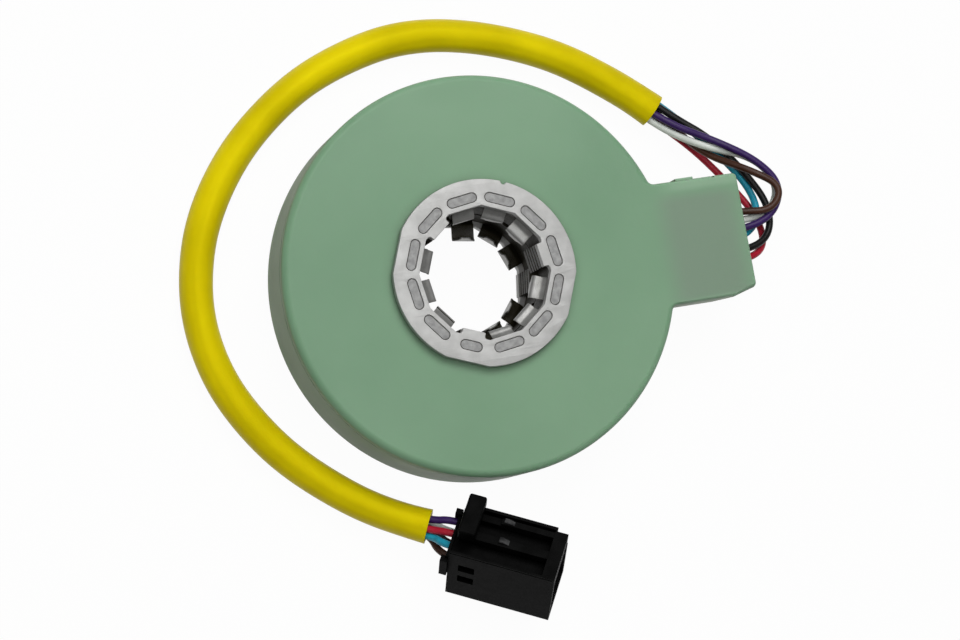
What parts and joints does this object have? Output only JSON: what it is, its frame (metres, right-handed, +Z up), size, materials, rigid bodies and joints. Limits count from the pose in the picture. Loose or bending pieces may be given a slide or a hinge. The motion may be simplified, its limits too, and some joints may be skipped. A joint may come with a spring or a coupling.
{
  "type": "steering angle sensor",
  "caption": "Flat round sensor housing with a keyed, sprung hub in its middle for a steering shaft, and a sleeved wire lead from its side block to a latched connector.",
  "frame": {"origin": "hub axis at the outer face of the lower flange, the surface that the sensor stands on", "axes": "+Z up along the hub axis, out of the housing's closed face; +X from the hub to the wire block"},
  "size_m": [0.1198, 0.1157, 0.0214],
  "materials": {
    "housing": "milky light green moulded plastic",
    "lid": "milky light green moulded plastic",
    "holder": "moulded plastic",
    "flange": "pressed sheet, satin",
    "spring_steel": "rolled spring sheet",
    "rotor": "glass-filled moulded plastic",
    "bush": "plain",
    "board": "coated board",
    "tracks": "smooth",
    "wipers": "bright",
    "pins": "bright",
    "connector": "fine moulded texture",
    "retainer": "fine moulded texture",
    "terminals": "tinned",
    "brown_wire": "smooth insulation",
    "white_wire": "smooth insulation",
    "purple_wire": "smooth insulation",
    "cyan_wire": "smooth insulation",
    "black_wire": "smooth insulation",
    "red_wire": "smooth insulation",
    "sleeve": "soft extruded hose"
  },
  "bodies": {
    "housing": {"housing_cup": "housing", "housing_lid": "lid", "wire_holder": "holder", "upper_bush": "bush", "lower_bush": "bush", "dish_spring": "spring_steel", "angle_board": "board", "angle_tracks": "tracks", "feed_board": "board", "feed_tracks": "tracks", "terminal_pins": "pins", "link_pins": "pins", "wire_brown": "brown_wire", "wire_white": "white_wire", "wire_purple": "purple_wire", "wire_cyan": "cyan_wire", "wire_black": "black_wire", "wire_red": "red_wire", "sleeve": "sleeve", "connector_shell": "connector", "connector_retainer": "retainer", "connector_terminals": "terminals"},
    "upper_hub": {"upper_flange": "flange", "upper_leaf_ring": "spring_steel", "upper_rotor": "rotor", "torque_wipers": "wipers", "feed_wipers": "wipers"},
    "lower_hub": {"lower_flange": "flange", "lower_leaf_ring": "spring_steel", "lower_rotor": "rotor", "torque_board": "board", "torque_tracks": "tracks", "angle_wipers": "wipers"}
  },
  "joints": [
    {"name": "hub_turn", "type": "hinge", "parent": "housing", "child": "upper_hub", "pos_m": [0, 0, 0.0095], "axis": [0, 0, 1], "continuous": true},
    {"name": "hub_twist", "type": "hinge", "parent": "upper_hub", "child": "lower_hub", "pos_m": [0, 0, 0.0095], "axis": [0, 0, 1], "range_deg": [-10, 10]}
  ]
}
